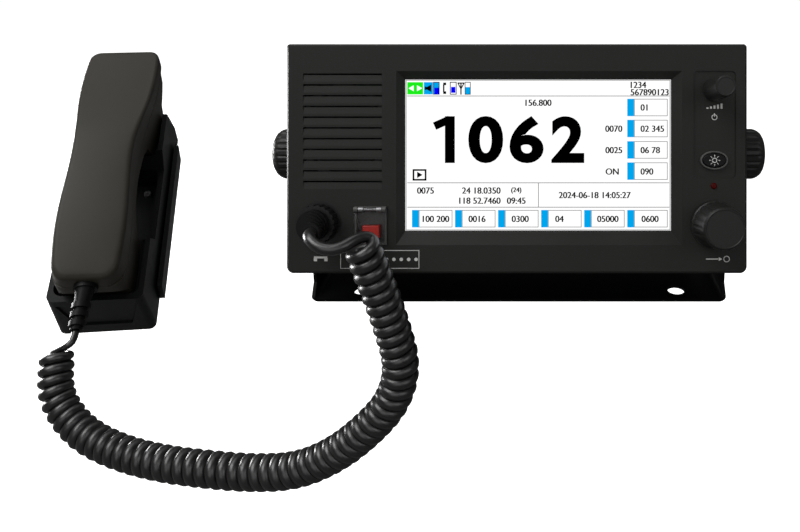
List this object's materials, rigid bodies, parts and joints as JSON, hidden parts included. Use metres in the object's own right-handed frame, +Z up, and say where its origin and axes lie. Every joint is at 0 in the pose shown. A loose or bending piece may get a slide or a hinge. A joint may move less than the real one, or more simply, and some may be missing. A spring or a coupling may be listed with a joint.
{
  "type": "bracket-mounted marine radio with handset",
  "caption": "Marine radio with colour screen and rotary knobs in a tilting trunnion bracket, with a telephone handset in its cradle on a curly cord.",
  "frame": {"origin": "centre of the four bolt holes in the underside of the trunnion bracket's base", "axes": "+Z up, square to the bracket's base; +X to the right as seen from the front, along the tilt axis; the panel faces -Y and looks up by 20 degrees at rest"},
  "size_m": [0.5343, 0.3131, 0.2632],
  "materials": {
    "panel_moulding": "fine satin grain",
    "grey_trim": "satin",
    "soft_rubber": "matt",
    "black_casting": "powder coat",
    "bright_steel": "plain",
    "screen_glass": "clear",
    "screen_module": "lit",
    "black_steel": "satin",
    "paper_cone": "paper",
    "green_board": "solder mask",
    "aluminium_block": "satin",
    "red_lens": "clear red",
    "black_fitting": "satin",
    "plated_brass": "nickel plated",
    "cord_rubber": "satin",
    "knob_plastic": "satin",
    "clear_plastic": "clear",
    "red_plastic": "satin",
    "handset_plastic": "satin",
    "bracket_paint": "powder coat",
    "cradle_plastic": "satin"
  },
  "bodies": {
    "mounting": {"trunnion_bracket": "bracket_paint", "friction_washers": "soft_rubber", "cradle_back_plate": "cradle_plastic", "cradle_body": "cradle_plastic", "cradle_screws": "bright_steel", "cord_coil_near_radio": "cord_rubber", "cord_coil_near_handset": "cord_rubber"},
    "radio": {"front_panel": "panel_moulding", "panel_gasket": "soft_rubber", "rear_housing": "black_casting", "housing_screws": "bright_steel", "touch_glass": "screen_glass", "lcd_module": "screen_module", "speaker_frame": "black_steel", "speaker_cone": "paper_cone", "main_board": "green_board", "rf_power_module": "aluminium_block", "control_board": "green_board", "volume_encoder": "aluminium_block", "channel_encoder": "aluminium_block", "dim_rim": "grey_trim", "status_led": "red_lens", "distress_housing": "grey_trim", "distress_hinge_pin": "bright_steel", "distress_spring": "bright_steel", "handset_socket": "black_fitting", "plug_body": "black_fitting", "plug_boot": "soft_rubber", "antenna_socket": "plated_brass", "power_socket": "black_fitting", "data_socket": "plated_brass", "earth_stud": "plated_brass", "cord_lead_at_radio": "cord_rubber"},
    "left_clamp": {"left_clamp_washer": "soft_rubber"},
    "left_knob": {"left_clamp_knob": "knob_plastic", "left_clamp_stud": "bright_steel"},
    "right_clamp": {"right_clamp_washer": "soft_rubber"},
    "right_knob": {"right_clamp_knob": "knob_plastic", "right_clamp_stud": "bright_steel"},
    "volume_shaft": {"volume_plunger": "bright_steel"},
    "volume_control": {"volume_knob": "knob_plastic"},
    "channel_shaft": {"channel_plunger": "bright_steel"},
    "channel_control": {"channel_knob": "knob_plastic"},
    "dim_key": {"dim_button": "soft_rubber"},
    "cover": {"distress_cover": "clear_plastic"},
    "distress_key": {"distress_button": "red_plastic"},
    "plug_lock": {"plug_ring": "black_fitting"},
    "handset": {"handset_back_shell": "handset_plastic", "handset_front_shell": "handset_plastic", "earpiece": "black_steel", "microphone": "black_steel", "handset_board": "green_board", "hook_magnet": "bright_steel", "handset_screws": "bright_steel", "handset_boot": "soft_rubber", "cord_lead_at_handset": "cord_rubber"},
    "talk_key": {"ptt_button": "soft_rubber"}
  },
  "joints": [
    {"name": "radio_tilt", "type": "hinge", "parent": "mounting", "child": "radio", "pos_m": [0, 0, 0.0845], "axis": [-1, 0, 0], "range_deg": [-20, 20], "deforming": ["cord_coil_near_radio", "cord_lead_at_radio"]},
    {"name": "left_clamp_slide", "type": "slide", "parent": "radio", "child": "left_clamp", "axis": [-1, 0, 0], "range_m": [0, 0.0025]},
    {"name": "left_clamp_turn", "type": "hinge", "parent": "left_clamp", "child": "left_knob", "pos_m": [-0.13, 0, 0.0845], "axis": [-1, 0, 0], "range_deg": [0, 720]},
    {"name": "right_clamp_slide", "type": "slide", "parent": "radio", "child": "right_clamp", "axis": [1, 0, 0], "range_m": [0, 0.0025]},
    {"name": "right_clamp_turn", "type": "hinge", "parent": "right_clamp", "child": "right_knob", "pos_m": [0.13, 0, 0.0845], "axis": [1, 0, 0], "range_deg": [0, 720]},
    {"name": "volume_push", "type": "slide", "parent": "radio", "child": "volume_shaft", "axis": [0, 0.9397, -0.342], "range_m": [0, 0.0015], "stiffness_N_per_m": 600, "springref_m": -0.001},
    {"name": "volume_turn", "type": "hinge", "parent": "volume_shaft", "child": "volume_control", "pos_m": [0.112, -0.04202, 0.13864], "axis": [0, -0.9397, 0.342], "range_deg": [-150, 150]},
    {"name": "channel_push", "type": "slide", "parent": "radio", "child": "channel_shaft", "axis": [0, 0.9397, -0.342], "range_m": [0, 0.0015], "stiffness_N_per_m": 800, "springref_m": -0.001},
    {"name": "channel_turn", "type": "hinge", "parent": "channel_shaft", "child": "channel_control", "pos_m": [0.112, -0.06808, 0.06703], "axis": [0, -0.9397, 0.342], "continuous": true},
    {"name": "dim_press", "type": "slide", "parent": "radio", "child": "dim_key", "axis": [0, 0.9397, -0.342], "range_m": [0, 0.001], "stiffness_N_per_m": 500, "springref_m": -0.001},
    {"name": "cover_flip", "type": "hinge", "parent": "radio", "child": "cover", "pos_m": [-0.0828, -0.05822, 0.07249], "axis": [-1, 0, 0], "range_deg": [0, 110], "stiffness_Nm_per_rad": 0.002, "springref_deg": -28.65, "deforming": ["distress_spring"]},
    {"name": "distress_press", "type": "slide", "parent": "radio", "child": "distress_key", "axis": [0, 0.9397, -0.342], "range_m": [0, 0.002], "stiffness_N_per_m": 400, "springref_m": -0.001},
    {"name": "plug_ring_turn", "type": "hinge", "parent": "radio", "child": "plug_lock", "pos_m": [-0.1121, -0.06321, 0.06579], "axis": [0, -0.9397, 0.342], "range_deg": [0, 60]},
    {"name": "handset_lift", "type": "slide", "parent": "mounting", "child": "handset", "axis": [0.2802, -0.5181, 0.8082], "range_m": [0, 0.12], "deforming": ["cord_coil_near_handset", "cord_lead_at_handset"]},
    {"name": "talk_press", "type": "slide", "parent": "handset", "child": "talk_key", "axis": [0.2802, -0.5181, 0.8082], "range_m": [0, 0.0015], "stiffness_N_per_m": 600, "springref_m": -0.001}
  ],
  "couplings": [
    {"joint": "left_clamp_turn", "follows": "left_clamp_slide", "rad_per_m": 5026.5},
    {"joint": "right_clamp_turn", "follows": "right_clamp_slide", "rad_per_m": 5026.5}
  ]
}
